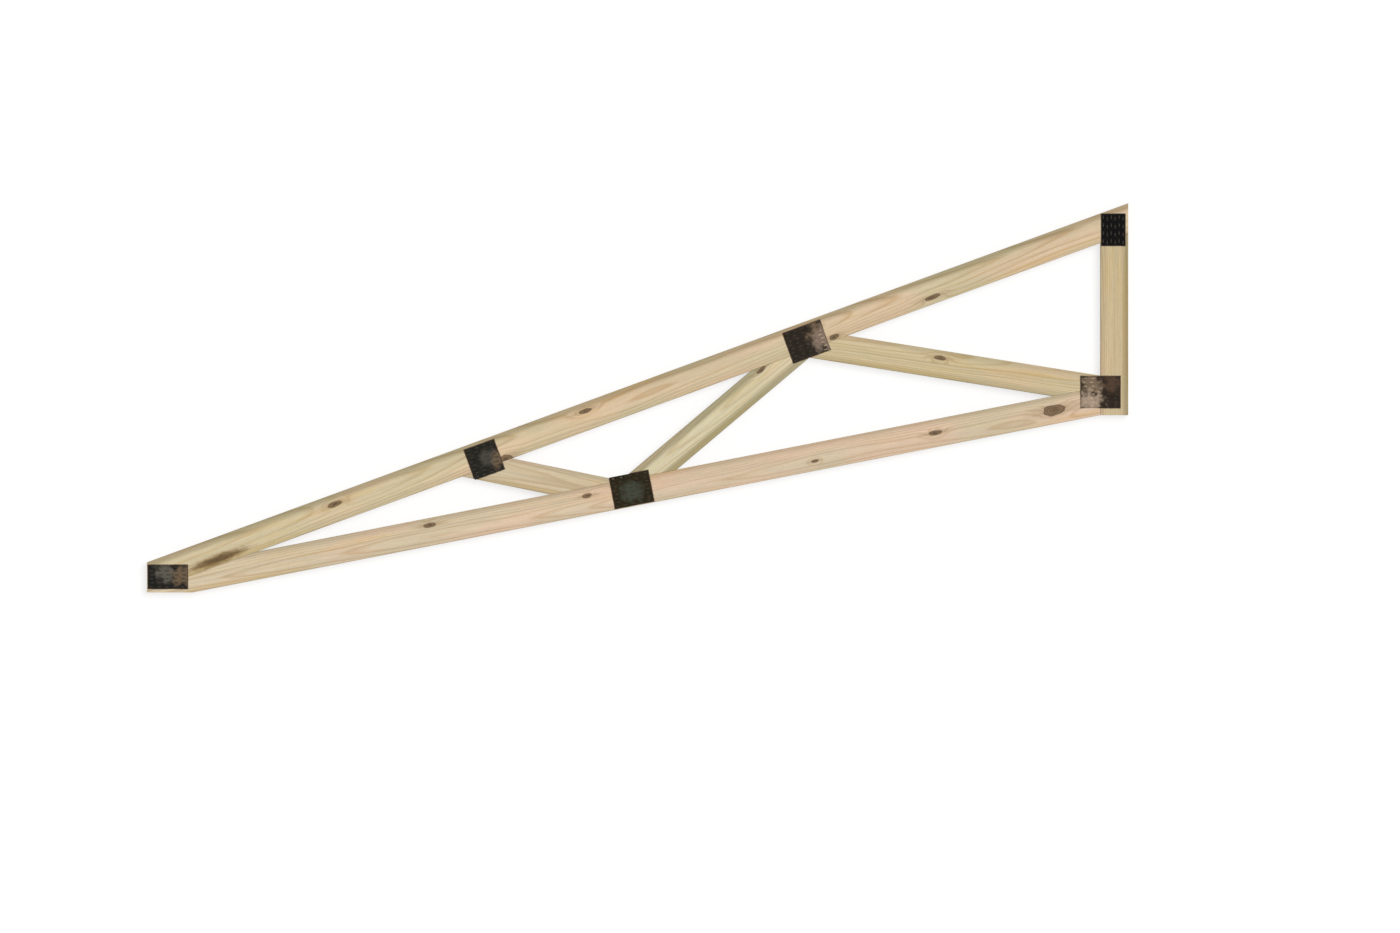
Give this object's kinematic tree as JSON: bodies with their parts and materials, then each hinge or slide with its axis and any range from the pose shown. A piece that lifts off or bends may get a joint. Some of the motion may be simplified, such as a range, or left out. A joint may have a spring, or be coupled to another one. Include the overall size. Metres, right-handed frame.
{
  "type": "wooden roof truss",
  "caption": "Half-scissors roof truss of planed softwood chords, webs and an end post, joined by toothed steel plates on both faces.",
  "frame": {"origin": "on the floor under the centre of the truss's outline, as it lies flat", "axes": "+X along the span from the heel to the post, +Y up the truss as it stands in a roof, +Z through its thickness, up from the floor it lies on"},
  "size_m": [3.14, 1.2458, 0.04],
  "materials": {
    "softwood": "matte",
    "dark_steel": "matte"
  },
  "bodies": {
    "root": {"top_chord": "softwood", "bottom_chord": "softwood", "end_post": "softwood", "heel_web": "softwood", "middle_web": "softwood", "post_web": "softwood", "heel_plate_front": "dark_steel", "heel_plate_back": "dark_steel", "heel_web_plate_front": "dark_steel", "heel_web_plate_back": "dark_steel", "lower_joint_plate_front": "dark_steel", "lower_joint_plate_back": "dark_steel", "upper_joint_plate_front": "dark_steel", "upper_joint_plate_back": "dark_steel", "peak_plate_front": "dark_steel", "peak_plate_back": "dark_steel", "bearing_plate_front": "dark_steel", "bearing_plate_back": "dark_steel"}
  },
  "joints": []
}
